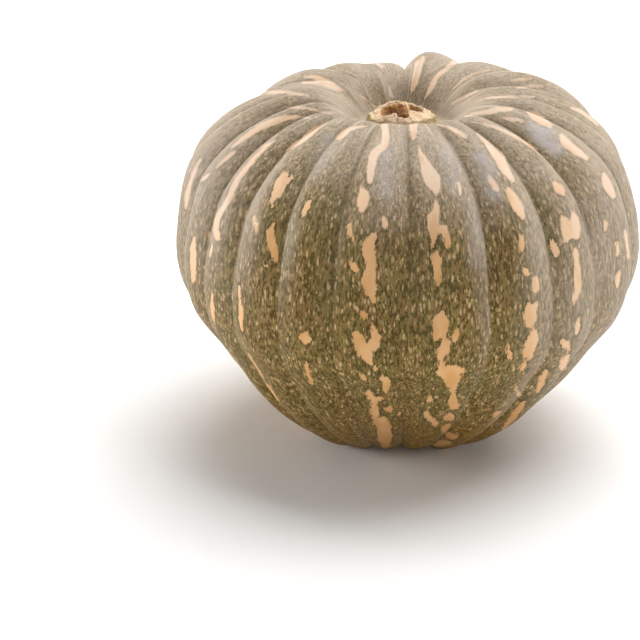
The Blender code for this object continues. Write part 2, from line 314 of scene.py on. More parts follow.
# Pale patches of the rind, as strips of (x, y, half width), in pixels of the photograph
SEEN_PATCHES = [
    # Front left
    [(384, 123, 4), (385, 130, 4), (386, 137, 4), (385, 145, 4), (378, 150, 4), (373, 156, 4.5),
     (371.5, 165, 4.2), (370.5, 173, 4.2), (370, 181, 3)],
    [(361, 188, 1.5), (364, 195, 5.5), (362.5, 203, 5.8), (362, 210, 3)],
    [(383, 218, 2), (385, 224, 3.6), (385.5, 230, 2)],
    [(349, 225, 2), (350, 232, 3), (353, 240, 2)],
    [(352, 264, 3.8), (355, 269, 3.5)],
    [(372, 237, 4.5), (368, 248, 7), (370, 258, 6), (371.5, 266, 5), (368.5, 280, 8),
     (371, 290, 6), (373, 297, 4.5), (374, 303, 2.5)],
    [(363.5, 314, 3), (366, 317, 3.5)],
    [(357, 334, 4.5), (359, 341, 5.5), (363, 350, 6.5), (367, 357, 5.5), (369, 361, 3)],
    [(370.5, 324, 1.5), (374, 330, 4), (376, 337, 5), (374, 345, 6), (366, 349, 6)],
    [(372, 364, 1.5), (376, 369, 2)],
    [(381.5, 377, 1.8), (386, 382, 4.2), (386, 388, 3.5), (386, 391, 2.2)],
    [(362, 376, 2.5), (365, 379, 2)],
    [(369, 393, 3), (373, 399, 3.8), (374, 406, 3.5), (375, 413, 4.5), (374, 417, 2.5)],
    [(381, 399, 1.8), (376, 399, 2.5)],
    [(386, 410, 2.2), (390, 409, 3)],
    [(399, 414, 2)],
    [(377, 422, 4), (383, 422, 5.5), (384, 430, 7.5), (385, 438, 7), (386, 444, 4.5)],
    [(390, 309, 2)],
    # Front right
    [(413, 124, 4.5), (413.5, 131, 4.2), (413, 137, 3), (413, 140, 1.2)],
    [(419, 147, 0.8), (421, 155, 3.2), (425, 163, 4.6), (428, 171, 7.2), (432, 179, 8.4), (435, 186, 5.2),
     (436, 192, 2.8)],
    [(436, 201, 2), (437, 209, 3.5), (433, 218, 5.5), (433, 228, 6), (434, 237, 4), (432, 246, 1.8)],
    [(436, 229, 4), (444, 229, 4), (447, 238, 4), (449, 247, 2.2)],
    [(431, 252, 1.5), (436, 254, 4.5), (437, 262, 5.5), (437, 270, 4.5), (438, 278, 3.5), (438, 284, 1.8)],
    [(442, 315, 4.5), (440.5, 322, 8), (440, 329, 8), (437, 336, 4.5), (435, 339, 2.5)],
    [(457, 331, 3), (455.5, 336, 4.5), (453, 342, 2.8)],
    [(446, 345, 5), (443, 351, 6), (440, 357, 3.5), (441, 363, 2.5)],
    [(441, 366, 3.5), (440, 372, 4), (447, 373, 7), (452, 377, 8.5), (452, 384, 6.5),
     (453, 390, 3.5), (454, 395, 1.5)],
    [(452, 370, 6), (460, 371, 3.8)],
    [(453, 399, 4.5), (454, 405, 5)],
    [(430, 400, 3)],
    [(425.5, 413, 3.2), (430, 419, 3), (434, 423, 3.2), (437, 423, 2)],
    [(446, 417, 3.5), (451, 417, 3.8)],
    [(449, 425, 2), (445, 428, 3.5), (444, 431, 2)],
    [(448, 435, 2.5), (453, 437, 3.2), (456, 437, 2)],
    [(437, 444, 2.5), (443, 443, 3.5), (448, 443, 2.5)],
    [(459, 183, 1), (460, 189, 1.6), (460, 195, 1)],
    # Right
    [(436, 124, 0.8), (445, 126, 1.5), (453, 129, 2.2), (460, 133, 2.5), (466, 137, 1.5)],
    [(476, 133, 1.2), (485, 141, 2.2), (493, 150, 4.2), (500, 158, 5.5), (503, 166, 5),
     (508, 173, 4), (513, 180, 2.2)],
    [(489, 176, 2), (492, 182, 3), (496, 188, 3.2), (498, 191, 1.5)],
    [(508, 189, 2), (512, 196, 4.5), (516, 204, 5.5), (520, 210, 4.5), (523, 217, 2.5)],
    [(521, 236, 2), (522, 243, 3.2), (523, 250, 2.8)],
    [(524, 269, 2.8), (527, 273, 3)],
    [(536, 277, 1.5), (536, 283, 3.8), (536, 289, 3.5)],
    [(529, 303, 2), (531, 310, 6.5), (530, 318, 7), (529, 324, 4)],
    [(536, 303, 2), (534, 309, 4)],
    [(534, 332, 3.5), (533, 338, 5.5), (530, 346, 6.5), (528, 353, 5), (531, 357, 2)],
    [(525, 361, 1.5), (523, 368, 2.5)],
    [(547, 371, 2), (543, 378, 3.5), (540, 385, 3), (538, 391, 1.2)],
    [(525, 402, 1.5), (519, 408, 3), (514, 416, 3), (508, 423, 2.4), (503, 429, 1.2)],
    [(495, 415, 2.5), (500, 412, 1.5)],
    [(516, 389, 1.5), (519, 395, 2.2)],
    [(508, 343, 1.2), (510, 357, 2.5)],
    [(552, 241, 1.8), (554, 247, 3.5), (556, 253, 3.2), (556, 257, 1.5)],
    [(562, 217, 2.5), (565, 222, 5), (567, 230, 6.5), (566, 240, 3)],
    [(573, 213, 1.5), (575, 220, 4.5), (574, 229, 6.5), (576, 236, 3.5)],
    [(570, 225, 4), (571, 234, 5)],
    [(575, 249, 2), (576, 256, 3.2), (577, 264, 2.5), (577, 272, 4), (578, 282, 3.5),
     (577, 292, 3.2), (574, 300, 2.4), (573, 305, 1.2)],
    [(579, 316, 1.2), (578, 325, 3), (577, 333, 2)],
    [(562, 340, 2.5), (565, 344, 4.5), (569, 344, 2.5), (568, 350, 2)],
    [(567, 356, 2.2), (564, 362, 3.8), (562, 368, 3)],
    [(554, 183, 2.2), (559, 189, 5), (563, 193, 3.2)],
    # Far right
    [(464, 117, 1), (475, 114, 2.2), (488, 112, 3.2), (500, 109.5, 3), (512, 109, 2)],
    [(503, 118, 1.2), (511, 119, 2.2), (518, 120, 2), (524, 122, 1.2)],
    [(528, 112, 2), (535, 116, 4.5), (542, 121, 4.5), (550, 125, 2.5)],
    [(562, 136, 2.5), (565, 142, 4.5), (571, 147, 3.8), (577, 151, 4), (582, 155, 3), (588, 159, 1.5)],
    [(604, 175, 2.5), (606, 182, 4.5), (610, 190, 4.2), (613, 196, 3)],
    [(605, 220, 1.5), (606, 226, 2.5), (605, 231, 1.5)],
    [(616, 242, 1.5), (618, 248, 2), (618, 256, 1.5)],
    [(620, 271, 1.8), (618, 278, 2.8), (617, 286, 1.8)],
    [(625, 231, 1.5), (627, 245, 1.5), (628, 258, 1.2)],
    [(570, 107.5, 1), (580, 111, 1.8), (590, 118, 1.6), (598, 125, 1)],
    [(470, 121.5, 0.8), (485, 124, 1.3), (500, 129, 1.6), (515, 136, 1.8), (528, 144, 1.6),
     (538, 151, 1.2)],
    # Back
    [(449, 105, 0.8), (460, 99, 2), (470, 94, 2), (479, 90, 1)],
    [(424, 100, 1), (427, 95, 1.4), (430, 90, 2.4), (433, 84, 3), (436, 78, 2.6), (441, 73, 2.8),
     (447, 68, 2.5), (455, 62, 3), (462, 58, 2.5)],
    [(423, 58, 2.5), (418.5, 65, 4.5), (417, 73, 4.2), (415, 81, 4.2), (413, 88, 2.6), (410.5, 95, 1)],
    [(508, 81, 0.8), (520, 79, 1.5), (532, 78.5, 1)],
    [(515, 88, 0.8), (530, 86, 1.6), (545, 86, 0.8)],
    [(485, 99, 0.8), (510, 96, 1.4), (535, 97, 1)],
    [(452, 90, 0.8), (462, 80, 1.4), (475, 73, 1.2), (490, 70, 0.8)],
    [(304, 77, 0.8), (313, 77, 2), (321, 79.5, 3.6), (329, 84, 4), (337, 88, 3.2), (343, 90.5, 1.4)],
    [(302, 83, 1.2), (312, 82.5, 1.8), (320, 82, 2.4)],
    [(375, 107, 1), (367, 100, 1.2), (360, 95, 0.8)],
    [(393, 98, 1.2), (390, 92, 1.2), (389, 86, 0.8)],
    [(377, 63.5, 1.5), (382, 67, 1.5)],
    # Left
    [(338, 138, 2.5), (343, 134, 3.8), (350, 129, 2.5), (360, 126.5, 1.6), (368, 126, 0.8)],
    [(284, 156, 1), (287, 151, 1.5), (293, 146, 2), (300, 142, 2.5), (307, 136, 3.2),
     (313, 131, 3), (320, 126, 2), (327, 122.5, 1)],
    [(297, 162, 1.5)],
    [(285, 174, 3.2), (282, 181, 5.5), (279, 188, 6), (274.5, 195, 4.5), (272, 201, 2), (272.5, 208, 1.5)],
    [(292, 175, 2), (292, 179, 1.8), (287, 180, 3)],
    [(310, 201, 1.5), (307, 205, 3), (305, 210, 2.5), (303, 216, 1.5)],
    [(274, 224, 1.5), (271, 229, 2.5), (268, 232, 3.2), (271, 238, 4), (273, 246, 4.5),
     (275, 254, 3.5), (276, 261, 2)],
    [(266, 265, 2.5)],
    [(275, 140, 0.8), (265, 147, 2), (254, 159, 2.2), (246, 169, 2.6), (238, 179, 2.4), (233, 189, 2.8),
     (229, 199, 3), (222, 209, 2.5), (217, 219, 3), (216, 231, 3.2), (218, 238, 3)],
    [(232, 147, 1.2), (241, 140, 2.2), (251, 133, 2.8), (261, 127, 3.4), (271, 122.5, 3.6),
     (281, 119, 3.4), (291, 117, 2.6), (300, 117, 1.6), (312, 118, 0.8)],
    [(216, 168, 1), (222, 162, 1.8), (229, 156, 2.2), (235, 151.5, 1.4)],
    [(282, 107.5, 1), (295, 107.5, 1.5), (308, 108.5, 1.5), (320, 111, 1.3), (333, 114, 0.8)],
    [(253, 95, 0.8), (265, 92.5, 1.8), (280, 92, 2), (295, 93.5, 1.8), (310, 96, 1)],
    [(200, 160, 1.2), (194, 172, 2), (190, 184, 2), (187, 196, 2.4), (186, 208, 1.5)],
    [(202, 180, 2), (208, 175, 2)],
    [(254, 216, 1.5), (256, 224, 2), (257, 231, 1.2)],
]
# Painted bluish highlight on the crowns of some lobes, as strips and strength from 0 to 1
HIGHLIGHT_SPOTS = [
    ([(330, 140, 4), (322, 160, 5), (317, 178, 3)], 0.32),
    ([(386, 148, 4), (387, 168, 7), (387, 192, 6)], 0.36),
    ([(447, 150, 3), (453, 170, 5), (458, 190, 4)], 0.40),
    ([(480, 158, 3), (487, 172, 6), (494, 192, 5)], 0.60),
    ([(534, 127, 3), (544, 136, 7), (556, 148, 4)], 0.80),
    ([(468, 204, 2), (472, 225, 4), (474, 260, 3)], 0.25),
]
# Left of this line, as (y, x) in pixels, the photograph doesn't show the rind
UNSEEN_EDGE = [
    (228, 185), (238, 215), (252, 250), (278, 280), (305, 300), (330, 312), (360, 320), (400, 322),
    (460, 318),
]
SEEN_FACING = 0.10
SEEN_FADE_MM = 60.0


def smooth_step(value, start, end):
    """0 before start, 1 after end, and a smooth rise between them."""
    part = np.clip((value - start) / (end - start), 0.0, 1.0)
    return part * part * (3.0 - 2.0 * part)


def ripples(points, wavelength, seed):
    """Even, smooth unevenness of about -1 to 1.

    It is the sum of 14 plane sine waves in random directions, whose lengths lie round
    the given wavelength, divided by the square root of 14.
    """
    draw = np.random.default_rng(seed)
    total = np.zeros(points.shape[:-1])
    waves = 14
    for _ in range(waves):
        direction = draw.normal(size=3)
        direction /= np.linalg.norm(direction)
        length = wavelength * draw.uniform(0.7, 1.5)
        phase = draw.uniform(0.0, 2.0 * math.pi)
        total += np.sin(points @ direction * (2.0 * math.pi / length) + phase)
    return total / math.sqrt(waves)


def bumpy(points, wavelength, seed):
    """The same unevenness, held between 0 and 1."""
    return 0.5 + 0.5 * np.clip(ripples(points, wavelength, seed), -1.0, 1.0)


def round_axis(radius, bearing, height):
    """Places at a radius from the axis, at a bearing in radians, at a height."""
    return np.stack([radius * np.sin(bearing), -radius * np.cos(bearing), height], axis=-1)


def envelope(turn):
    """Radius and height of the turned envelope at an angle from -90 (base) to 90 degrees (top).

    A superellipse, whose top falls away exponentially to a level seat, and whose base
    is rounded onto the floor and has a bell-shaped dimple.
    """
    upper = turn > 0.0
    roundness = np.where(upper, UPPER_ROUNDNESS, LOWER_ROUNDNESS)
    power = 2.0 / (2.0 + (roundness - 2.0) * smooth_step(np.abs(turn), 0.0, PLAIN_SPAN))
    radius = RADIUS * np.abs(np.cos(turn)) ** power
    reach = np.where(upper, TOP_HEIGHT - WIDEST_HEIGHT, WIDEST_HEIGHT + BASE_SINK)
    height = WIDEST_HEIGHT + reach * np.sign(turn) * np.abs(np.sin(turn)) ** power
    from_seat = np.maximum(radius - SEAT_RADIUS, 0.0)
    rise = 1.0 - np.exp(-((from_seat / HOLLOW_WIDTH) ** HOLLOW_SHARPNESS))
    top_height = SEAT_HEIGHT + (height - SEAT_HEIGHT) * rise
    floor_lift = 0.5 * (np.sqrt(height**2 + 4.0 * BASE_ROUNDING**2) - height)
    dimple = DIMPLE_DEPTH * np.exp(-((radius / DIMPLE_WIDTH) ** 2))
    lowness = smooth_step(WIDEST_HEIGHT - height, 0.0, WIDEST_HEIGHT)
    base_height = height + (floor_lift + dimple - BASE_DROP) * lowness
    return radius, np.where(upper, top_height, base_height)


def envelope_normal(turn):
    """Outward direction across the envelope, as its radial and its upward part."""
    step = 1e-4
    short_of_pole = 0.5 * math.pi - 10.0 * step
    turn = np.clip(turn, -short_of_pole, short_of_pole)
    radius_ahead, height_ahead = envelope(turn + step)
    radius_behind, height_behind = envelope(turn - step)
    along_radius = radius_ahead - radius_behind
    along_height = height_ahead - height_behind
    length = np.hypot(along_radius, along_height) + NEVER_ZERO
    return along_height / length, -along_radius / length


def profile_turns(rows):
    """Turns spaced evenly along the envelope's profile from base to top, and their ways down it in mm."""
    fine_steps = 8000
    fine = np.linspace(-0.5 * math.pi, 0.5 * math.pi, fine_steps + 1)
    radius, height = envelope(fine)
    steps = np.hypot(np.diff(radius), np.diff(height))
    along = np.concatenate([[0.0], np.cumsum(steps)])
    places = np.linspace(0.0, along[-1], rows + 2)
    return np.interp(places, along, fine), (along[-1] - places) / MM


def lobe_at(share):
    """Azimuth, place across the lobe from 0 to 1, groove depth and crest rise at a share of a round."""
    nearly = 1e-4
    azimuths, depths, rises = np.array(LOBES + [LOBES[0]]).T
    azimuths[-1] += 360.0
    place = share * len(LOBES)
    place = np.where(np.abs(place - np.round(place)) < nearly, np.round(place), place)
    lobe = np.floor(place).astype(int) % len(LOBES)
    across = place - np.floor(place)
    azimuth = azimuths[lobe] + across * (azimuths[lobe + 1] - azimuths[lobe])
    depth = depths[lobe] + across * (depths[lobe + 1] - depths[lobe])
    return azimuth, across, depth * MM, rises[lobe] * MM


def rind_surface(share, turn):
    """The ribbed fruit at a share of a round and a turn.

    The envelope moves along its own normal: inward by the groove depth times
    1 - |sin(pi * across)| ** fullness, and outward by the crest rise. The base is then
    squared, the right side swelled and lifted, and everything below the floor raised to it.
    """
    azimuth, across, groove_depth, crest_rise = lobe_at(share)
    radius, height = envelope(turn)
    out_radius, out_height = envelope_normal(turn)
    upper = turn > 0.0
    reach = GROOVE_AT_MIDDLE + (1.0 - GROOVE_AT_MIDDLE) * smooth_step(height, *SHOULDER_SPAN)
    reach = reach + (GROOVE_AT_BASE - GROOVE_AT_MIDDLE) * (1.0 - smooth_step(height, *BASE_SPAN))
    reach = reach * np.where(upper, smooth_step(radius, *SEAT_FADE), smooth_step(radius, *BLOSSOM_FADE))
    shoulder = smooth_step(height, *RISE_HEIGHTS) * smooth_step(radius, *RISE_RADII) * upper
    bulge = np.sin(math.pi * across)
    hollow = (1.0 - np.abs(bulge) ** LOBE_FULLNESS) * reach
    move = crest_rise * bulge * shoulder - groove_depth * hollow - RIND_INSET
    radius = np.maximum(radius + move * out_radius, 0.0)
    height = height + move * out_height
    bearing = np.radians(azimuth)
    to_right = np.sin(bearing)
    to_back = -np.cos(bearing)
    lowness = smooth_step(WIDEST_HEIGHT - height, 0.0, WIDEST_HEIGHT)
    radius = radius * (1.0 - BASE_SQUARENESS * np.cos(4.0 * bearing) * lowness)
    radius = radius * (1.0 + SIDE_SWELL * to_right)
    past_seat = np.clip((radius - SEAT_RADIUS) / (RADIUS - SEAT_RADIUS), 0.0, 1.0)
    height = height * (1.0 + SHOULDER_LIFT * to_right * (height / TOP_HEIGHT) ** 2 * past_seat)
    height = np.where(upper, height, np.maximum(height, 0.0))
    x = radius * to_right + AXIS_OFFSET[0]
    y = radius * to_back + AXIS_OFFSET[1]
    return np.stack([x, y, height], axis=-1), azimuth, across, hollow


def ring_normals(rings):
    """Outward unit normals of a grid of rings that run from base to top."""
    sideways = np.roll(rings, -1, axis=1) - np.roll(rings, 1, axis=1)
    upward = np.gradient(rings, axis=0)
    normals = np.cross(sideways, upward)
    return normals / (np.linalg.norm(normals, axis=-1, keepdims=True) + NEVER_ZERO)


def photo_place(points):
    """Where the camera sees each point, in pixels from the top left of the photograph."""
    offset = points - np.array(CAMERA_PLACE)
    ahead = np.array([0.0, math.cos(CAMERA_DROP), -math.sin(CAMERA_DROP)])
    above = np.array([0.0, math.sin(CAMERA_DROP), math.cos(CAMERA_DROP)])
    scale = LENS / SENSOR * 2.0 * PHOTO_HALF / (offset @ ahead)
    return PHOTO_HALF + scale * offset[..., 0], PHOTO_HALF - scale * (offset @ above)


def photo_facing(points, normals):
    """Cosine between each normal and the direction to the camera."""
    toward = np.array(CAMERA_PLACE) - points
    toward = toward / np.linalg.norm(toward, axis=-1, keepdims=True)
    return np.sum(toward * normals, axis=-1)


def chain_distance(x, y, chain):
    """Distance to a chain of rounded strips whose half width changes evenly, below 0 inside."""
    nearest = np.full(x.shape, FAR)
    ends = chain[1:] if len(chain) > 1 else chain
    for (ax, ay, a_half), (bx, by, b_half) in zip(chain, ends):
        squared = (bx - ax) ** 2 + (by - ay) ** 2 + NEVER_ZERO
        part = np.clip(((x - ax) * (bx - ax) + (y - ay) * (by - ay)) / squared, 0.0, 1.0)
        aside = np.hypot(x - ax - part * (bx - ax), y - ay - part * (by - ay))
        nearest = np.minimum(nearest, aside - a_half - part * (b_half - a_half))
    return nearest


def strip_distance(azimuth, along, radius, strip):
    """Distance in mm to a strip that runs down a meridian, below 0 inside.

    The strip is rows of way down the profile in mm, azimuth in degrees, half width in mm.
    """
    places, middles, halves = np.array(strip).T
    held = np.clip(along, places[0], places[-1])
    turned = (azimuth - np.interp(held, places, middles) + 180.0) % 360.0 - 180.0
    aside = np.radians(turned) * radius / MM
    return np.hypot(aside, along - held) - np.interp(held, places, halves)


def lobe_strips(lobe, draw):
    """Made-up patches down one lobe: a long thin streak from the stem, then uneven blots with gaps.

    A wide lobe has two columns of them. A patch's half width follows part of a sine arch
    with random swellings, and its middle sways from row to row.
    """
    start = LOBES[lobe][0]
    width = (LOBES[(lobe + 1) % len(LOBES)][0] - start) % 360.0
    narrow = width < WIDE_LOBE
    shares = np.linspace(0.0, 1.0, PATCH_ROWS)
    arch = np.sin(math.pi * (0.15 + 0.7 * shares))
    strips = []
    for column in range(1 if narrow else 2):
        aside = draw.uniform(*(NARROW_MIDDLES if narrow else WIDE_MIDDLES))
        middle = start + width * (aside + SECOND_COLUMN * column)
        along = draw.uniform(*STREAK_STARTS)
        while along < LAST_BLOT:
            lengths, half_widths = STREAK_SIZES if along < LAST_STREAK else BLOT_SIZES
            length = draw.uniform(*lengths)
            half = draw.uniform(*half_widths)
            drift = draw.uniform(*PATCH_DRIFTS) * width
            halves = half * arch * draw.uniform(*PATCH_SWELLINGS, PATCH_ROWS)
            sway = np.cumsum(draw.uniform(*PATCH_SWAYS, PATCH_ROWS)) * width
            azimuths = middle + drift + sway
            strips.append(np.column_stack([along + shares * length, azimuths, halves]))
            along += length + draw.uniform(*PATCH_GAPS)
            middle = middle + draw.uniform(*PATCH_STEPS) * width
    return strips


def patch_field(points, azimuth, along, radius, seen):
    """Distance in mm to the nearest pale patch, below 0 inside it.

    Where the camera sees the rind, the patches are the photograph's. A made-up patch
    counts only if the camera sees no part of it.
    """
    x, y = photo_place(points)
    field = np.full(x.shape, FAR)
    for chain in SEEN_PATCHES:
        field = np.minimum(field, chain_distance(x, y, chain) * MM_PER_PIXEL)
    field = field + np.maximum(SEEN_FACING - seen, 0.0) * SEEN_FADE_MM
    field = np.where(seen < 0.0, FAR, field)
    edge_heights, edge_sides = np.array(UNSEEN_EDGE).T
    behind = (y > edge_heights[0]) & (x < np.interp(y, edge_heights, edge_sides))
    covered = (seen < SEEN_FACING) | behind
    draw = np.random.default_rng(PATCH_SEED)
    for lobe in range(len(LOBES)):
        for strip in lobe_strips(lobe, draw):
            rows = np.argmin(np.abs(along[:, :1] - strip[:, 0]), axis=0)
            turned = np.abs((azimuth[:1].T - strip[:, 1] + 180.0) % 360.0 - 180.0)
            columns = np.argmin(turned, axis=0)
            if covered[rows, columns].all():
                field = np.minimum(field, strip_distance(azimuth, along, radius, strip))
    return field


def highlight_field(points, seen, elsewhere):
    """Strength of the painted bluish highlight: the spots where the camera sees them, the given one
    elsewhere.
    """
    x, y = photo_place(points)
    field = np.zeros(x.shape)
    for chain, strength in HIGHLIGHT_SPOTS:
        distance = chain_distance(x, y, chain) * MM_PER_PIXEL
        field = np.maximum(field, strength * (1.0 - smooth_step(distance, *HIGHLIGHT_REACH)))
    return np.where(seen > SEEN_FACING, field, elsewhere)


def put(name, data, place=(0.0, 0.0, 0.0), turned=(0.0, 0.0, 0.0)):
    """A new object in the scene."""
    thing = bpy.data.objects.new(name, data)
    thing.location = place
    thing.rotation_euler = turned
    bpy.context.scene.collection.objects.link(thing)
    return thing


def put_mesh(name, vertices, faces, material):
    """A new object with a smooth mesh."""
    mesh = bpy.data.meshes.new(name)
    mesh.from_pydata(vertices.tolist(), [], faces)
    mesh.shade_smooth()
    mesh.materials.append(material)
    return put(name, mesh)


def closed_surface(name, rings, material):
    """A closed mesh of rings from base to top, whose first and last rings are one vertex each."""
    base, top = rings[0, :1], rings[-1, :1]
    rings = rings[1:-1]
    rows, spans = rings.shape[:2]
    vertices = np.concatenate([rings.reshape(-1, 3), base, top])
    row, span = np.meshgrid(np.arange(rows - 1), np.arange(spans), indexing="ij")
    after = (span + 1) % spans
    quads = np.stack(
        [row * spans + span, row * spans + after, (row + 1) * spans + after, (row + 1) * spans + span],
        axis=-1,
    ).reshape(-1, 4)
    ring = np.arange(spans)
    ahead = (ring + 1) % spans
    base_fan = np.column_stack([np.full(spans, rows * spans), ahead, ring])
    last = (rows - 1) * spans
    top_fan = np.column_stack([np.full(spans, rows * spans + 1), last + ring, last + ahead])
    faces = quads.tolist() + base_fan.tolist() + top_fan.tolist()
    return put_mesh(name, vertices, faces, material)


def give_attributes(piece, marks, base, top):
    """Stores each mark's numbers or vectors, for the rings first and then for the two poles.

    A pole takes the value that base or top gives for it, or else its own row's first.
    """
    for name, values in marks.items():
        vector = values.ndim == 3
        flat = values[1:-1].reshape(-1, 3 if vector else 1)
        poles = [base.get(name, values[0, 0]), top.get(name, values[-1, 0])]
        flat = np.concatenate([flat, np.reshape(poles, (2, -1))])
        layer = piece.data.attributes.new(name, "FLOAT_VECTOR" if vector else "FLOAT", "POINT")
        layer.data.foreach_set("vector" if vector else "value", flat.astype(np.float32).ravel())


def add(tree, kind, inputs=None, **settings):
    """One shader node with its settings; an input is a value or another node's output."""
    node = tree.nodes.new("ShaderNode" + kind)
    for key, value in settings.items():
        setattr(node, key, value)
    for key, value in (inputs or {}).items():
        if isinstance(value, bpy.types.NodeSocket):
            tree.links.new(value, node.inputs[key])
        else:
            node.inputs[key].default_value = value
    return node


def blend(tree, amount, first, second):
    """First colour where amount is 0, second where it is 1; each a node's output or red, green, blue."""
    first, second = ((*side, 1.0) if isinstance(side, tuple) else side for side in (first, second))
    node = add(tree, "Mix", {0: amount, 6: first, 7: second}, data_type="RGBA")
    return node.outputs[2]


def maths(tree, operation, first, second):
    return add(tree, "Math", {0: first, 1: second}, operation=operation).outputs[0]


def times(tree, first, second):
    return maths(tree, "MULTIPLY", first, second)


def plus(tree, first, second):
    return maths(tree, "ADD", first, second)


def minus(tree, first, second):
    return maths(tree, "SUBTRACT", first, second)


def rise(tree, value, start, end, low=0.0, high=1.0):
    """A smooth change from low to high while value goes from start to end."""
    inputs = {"Value": value, "From Min": start, "From Max": end, "To Min": low, "To Max": high}
    return add(tree, "MapRange", inputs, interpolation_type="SMOOTHSTEP").outputs[0]


def noise(tree, place, scale, detail=2.0, roughness=0.5, output="Fac"):
    inputs = {"Vector": place, "Scale": scale, "Detail": detail, "Roughness": roughness}
    return add(tree, "TexNoise", inputs).outputs[output]


def swing(tree, value, amount):
    """Noise from 0 to 1 made to swing about 0, by up to about half the amount."""
    return times(tree, minus(tree, value, 0.5), amount)


def stretched(tree, place, x, y, z):
    """The place with each axis multiplied."""
    return add(tree, "VectorMath", {0: place, 1: (x, y, z)}, operation="MULTIPLY").outputs[0]


def shaken(tree, place, scale, amount):
    """The place moved at random by up to about half the amount."""
    wander = noise(tree, place, scale, 1.0, output="Color")
    centred = add(tree, "VectorMath", {0: wander, 1: (0.5, 0.5, 0.5)}, operation="SUBTRACT").outputs[0]
    inputs = {0: centred, 1: (amount, amount, amount), 2: place}
    return add(tree, "VectorMath", inputs, operation="MULTIPLY_ADD").outputs[0]


def attribute(tree, name, output="Fac"):
    return add(tree, "Attribute", attribute_name=name).outputs[output]


def grain_group():
    """Shared fine grain of the rind, the cork and the paper: a fine noise, and a broad mottle."""
    tree = bpy.data.node_groups.new("fine grain", "ShaderNodeTree")
    for name, way, kind in GRAIN_SOCKETS:
        tree.interface.new_socket(name, in_out=way, socket_type="NodeSocket" + kind)
    start = tree.nodes.new("NodeGroupInput")
    end = tree.nodes.new("NodeGroupOutput")
    fine = noise(tree, start.outputs["Place"], start.outputs["Scale"], 4.0, 0.6)
    coarse_scale = times(tree, start.outputs["Scale"], 0.12)
    coarse = noise(tree, start.outputs["Place"], coarse_scale, 2.0)
    tree.links.new(fine, end.inputs["Grain"])
    tree.links.new(rise(tree, coarse, 0.3, 0.7), end.inputs["Mottle"])
    return tree


def place_grain(tree, grain, place, scale):
    """The shared fine grain set in a material."""
    node = add(tree, "Group", {}, node_tree=grain)
    tree.links.new(place, node.inputs["Place"])
    node.inputs["Scale"].default_value = scale
    return node.outputs


def new_material(name):
    material = bpy.data.materials.new(name)
    material.use_nodes = True
    tree = material.node_tree
    return material, tree, tree.nodes["Principled BSDF"]


def grains(tree, place, scale, rarity, small, large):
    """Flecks on a scatter of cells: a mask, and a random number that is the same over each fleck.

    A fleck fills its cell out to a random radius from small to large; the share of cells
    given by rarity has small ones only.
    """
    cells = add(tree, "TexVoronoi", {"Vector": place, "Scale": scale, "Randomness": 1.0})
    draw = add(tree, "SeparateColor", {0: cells.outputs["Color"]})
    spans = {"From Min": rarity, "From Max": 1.0, "To Min": small, "To Max": large}
    size = add(tree, "MapRange", {"Value": draw.outputs[0], **spans}).outputs[0]
    mask = rise(tree, minus(tree, cells.outputs["Distance"], size), 0.10, -0.08)
    return mask, draw.outputs[1]


def rind_patterns(tree):
    """What the rind's layers share, by name: the piece's marks, and noise that lies in its flow."""
    names = ("patch_edge", "wax_and_sheen", "groove", "low", "near_stem", "painted_side_light", "painted_highlight", "scar")
    read = {name: attribute(tree, name) for name in names}
    flow = attribute(tree, "flow", "Vector")
    rays = attribute(tree, "rays", "Vector")
    read["flow"] = flow
    read["shaped"] = shaken(tree, shaken(tree, flow, 0.16, 2.6), 0.8, 0.4)
    read["middling"] = noise(tree, flow, scale=0.16, detail=3.0)
    read["marble"] = noise(tree, flow, scale=0.14, detail=3.0)
    read["lines"] = noise(tree, rays, scale=0.30, detail=3.0, roughness=0.55)
    return read


